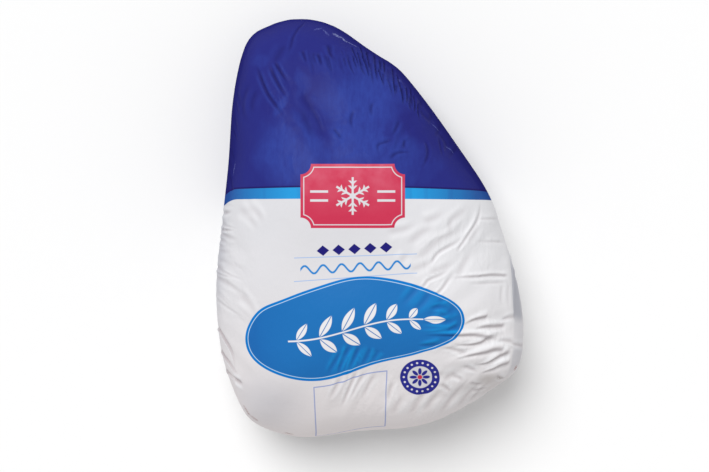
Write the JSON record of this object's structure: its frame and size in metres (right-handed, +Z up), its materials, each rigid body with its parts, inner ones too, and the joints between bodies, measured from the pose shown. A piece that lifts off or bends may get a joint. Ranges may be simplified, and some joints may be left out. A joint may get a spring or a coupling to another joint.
{
  "type": "packed frozen turkey breast",
  "caption": "Whole frozen turkey breast sealed in a printed film bag, blue at the narrow tip and white below a light-blue band, lying on its back on a flat base.",
  "frame": {"origin": "centre of the box, on the surface that the pack lies on", "axes": "+X across the breast to the right of the printed face, +Y along it towards the narrow tip, +Z up out of the printed face"},
  "size_m": [0.2052, 0.282, 0.1062],
  "materials": {
    "printed_film": "satin shrink film, printed navy blue over the narrow half, with a light-blue band and a white lower half"
  },
  "bodies": {
    "root": {"turkey_breast_pack": "printed_film"}
  },
  "joints": []
}
